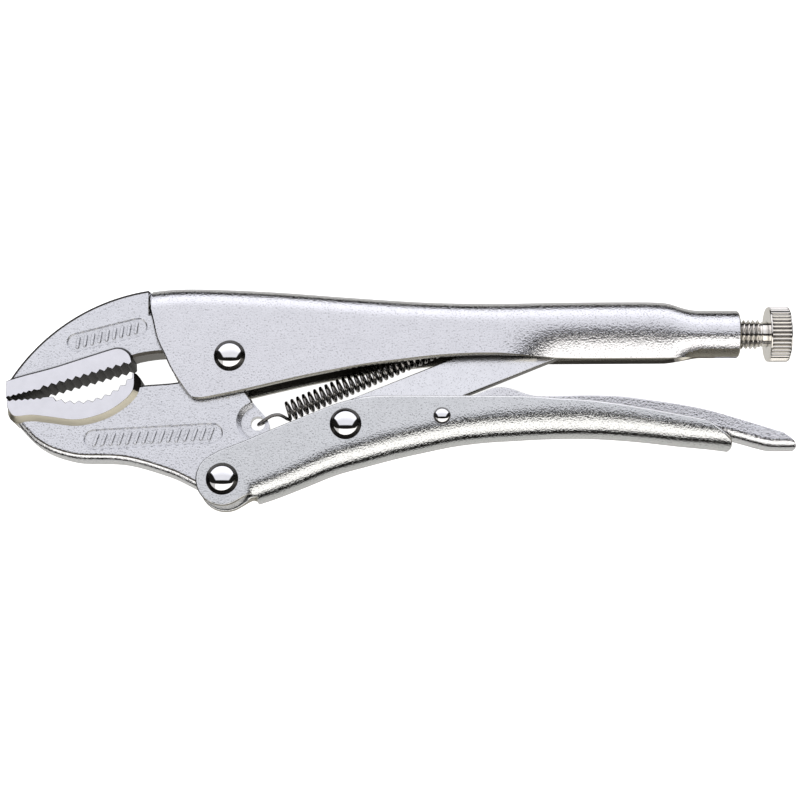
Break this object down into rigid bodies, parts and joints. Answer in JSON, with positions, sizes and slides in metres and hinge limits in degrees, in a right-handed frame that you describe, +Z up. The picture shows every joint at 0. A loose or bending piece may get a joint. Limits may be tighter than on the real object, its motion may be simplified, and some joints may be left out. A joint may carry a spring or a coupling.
{
  "type": "locking pliers",
  "caption": "Adjustable locking pliers with curved toothed jaws, folded sheet handles, toggle link, release lever, tension spring and knurled adjusting screw.",
  "frame": {"origin": "bottom centre of the bounding box, with the tool lying on one side on its rivet heads", "axes": "+X from the jaw tips to the adjusting screw, +Y from the lower handle towards the upper handle, +Z up through the thickness"},
  "size_m": [0.2504, 0.0705, 0.0216],
  "materials": {
    "blasted_sheet": "satin, blasted and plated",
    "forged_steel": "satin, forged and plated",
    "bright_rivet": "polished",
    "nickel": "bright nickel",
    "spring_wire": "dark, oiled"
  },
  "bodies": {
    "frame": {"upper_handle": "blasted_sheet", "upper_jaw": "forged_steel", "main_rivet": "bright_rivet", "spring_anchor": "blasted_sheet", "tension_spring": "spring_wire"},
    "lower_jaw": {"lower_jaw": "forged_steel"},
    "lower_handle": {"lower_handle": "blasted_sheet", "lever_rivet": "bright_rivet", "link_rivet": "bright_rivet", "release_rivet": "bright_rivet"},
    "toggle_link": {"toggle_link": "blasted_sheet"},
    "release_lever": {"release_lever": "blasted_sheet"},
    "screw_point": {"screw_point": "nickel"},
    "adjusting_screw": {"adjusting_screw": "nickel", "screw_head": "nickel"}
  },
  "joints": [
    {"name": "jaw_pivot", "type": "hinge", "parent": "frame", "child": "lower_jaw", "pos_m": [-0.05435, 0.01265, 0.0108], "axis": [0, 0, 1], "range_deg": [0, 15], "deforming": ["tension_spring"]},
    {"name": "lever_pivot", "type": "hinge", "parent": "lower_jaw", "child": "lower_handle", "pos_m": [-0.05605, -0.02695, 0.0108], "axis": [0, 0, 1], "range_deg": [-51, 0.5]},
    {"name": "link_pivot", "type": "hinge", "parent": "lower_handle", "child": "toggle_link", "pos_m": [-0.01735, -0.00935, 0.0108], "axis": [0, 0, 1], "range_deg": [-0.5, 56]},
    {"name": "release_pivot", "type": "hinge", "parent": "lower_handle", "child": "release_lever", "pos_m": [0.01315, -0.00675, 0.0108], "axis": [0, 0, 1], "range_deg": [0, 3.5]},
    {"name": "screw_travel", "type": "slide", "parent": "frame", "child": "screw_point", "axis": [1, 0, 0], "range_m": [0, 0.006]},
    {"name": "screw_turn", "type": "hinge", "parent": "screw_point", "child": "adjusting_screw", "pos_m": [0.11985, 0.0215, 0.0108], "axis": [1, 0, 0], "range_deg": [0, 1441]}
  ],
  "couplings": [
    {"joint": "lever_pivot", "follows": "jaw_pivot", "ratio": -3.3333},
    {"joint": "link_pivot", "follows": "jaw_pivot", "ratio": 3.6333},
    {"joint": "screw_turn", "follows": "screw_travel", "rad_per_m": 4188.8}
  ]
}
